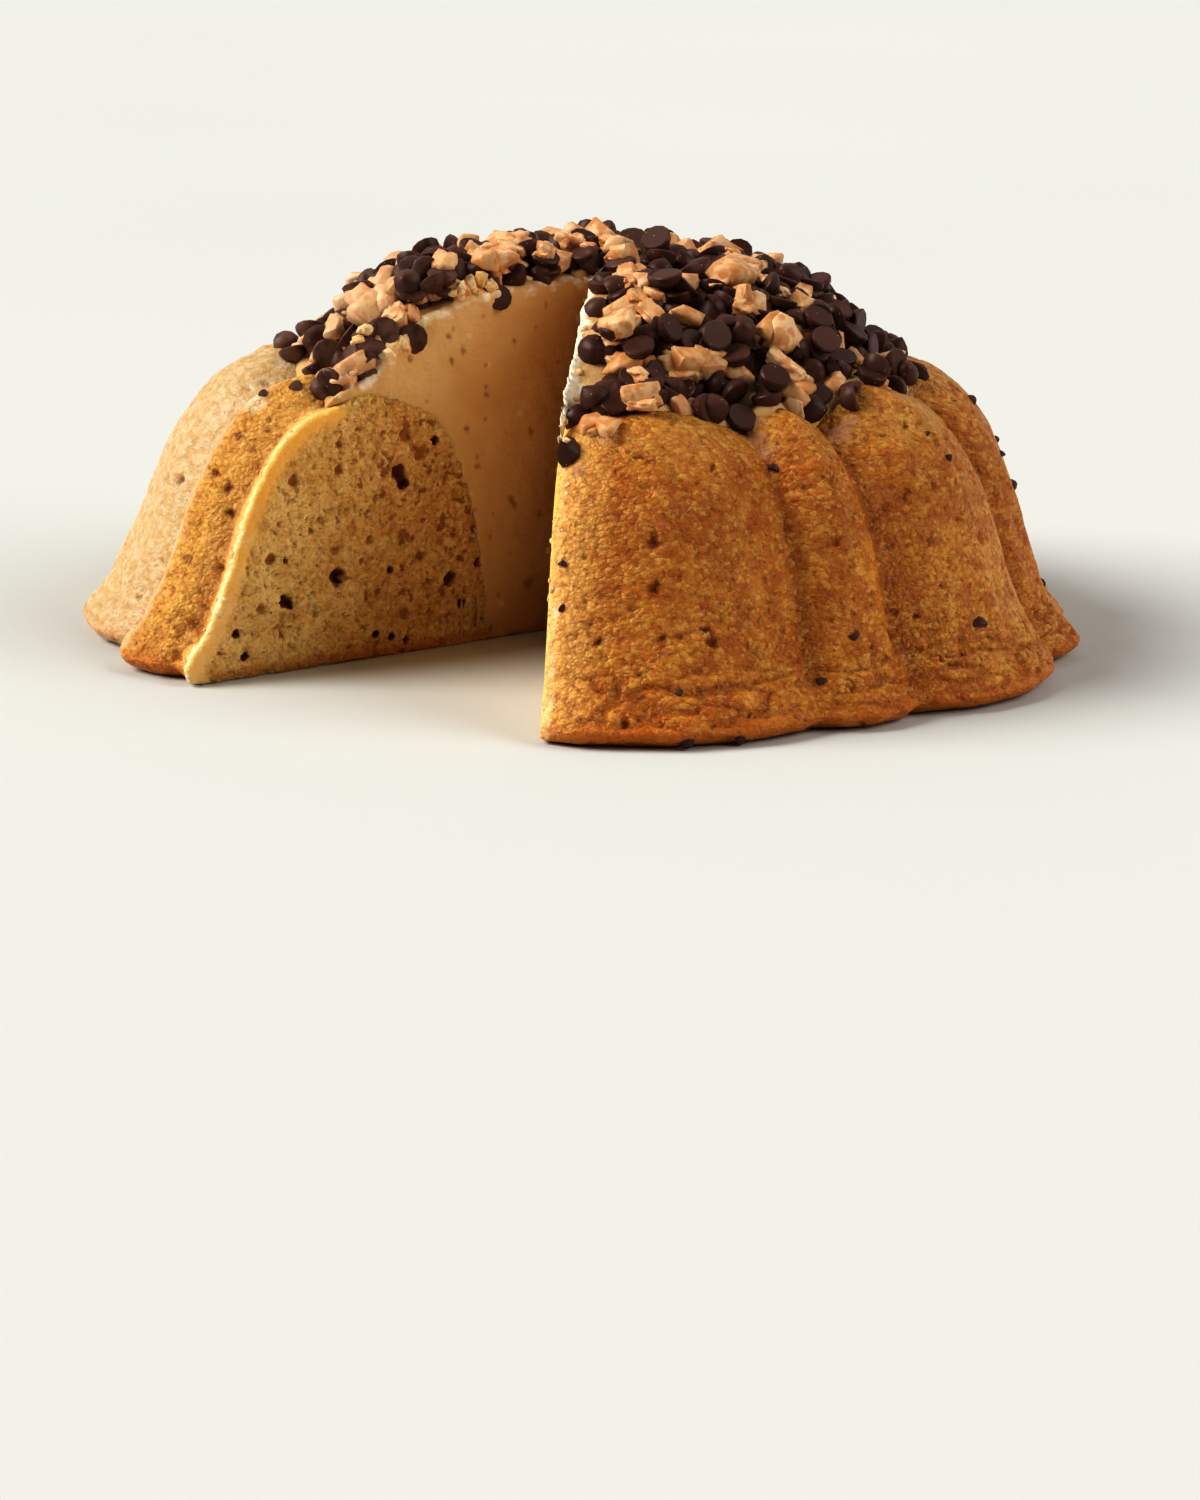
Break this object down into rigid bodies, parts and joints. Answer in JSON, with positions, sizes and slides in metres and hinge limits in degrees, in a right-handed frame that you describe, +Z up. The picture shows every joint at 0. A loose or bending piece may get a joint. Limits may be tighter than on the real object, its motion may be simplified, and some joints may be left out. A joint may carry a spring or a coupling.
{
  "type": "fluted pound cake",
  "caption": "Fluted ring pound cake filled with caramel frosting, topped with chocolate chips and toffee bits, with a wedge cut out.",
  "frame": {"origin": "middle of the footprint, on the surface the cake stands on", "axes": "+Z up; the gap of the missing slice faces -Y; +X to the right of someone who looks into the gap"},
  "size_m": [0.2504, 0.2372, 0.0982],
  "materials": {
    "cake": "golden baked crust with a matt, fine crumb at the cuts",
    "frosting": "smooth caramel frosting, soft satin",
    "chocolate": "dark chocolate, satin",
    "toffee": "pale toffee, waxy"
  },
  "bodies": {
    "root": {"cake": "cake", "frosting": "frosting"}
  },
  "joints": []
}
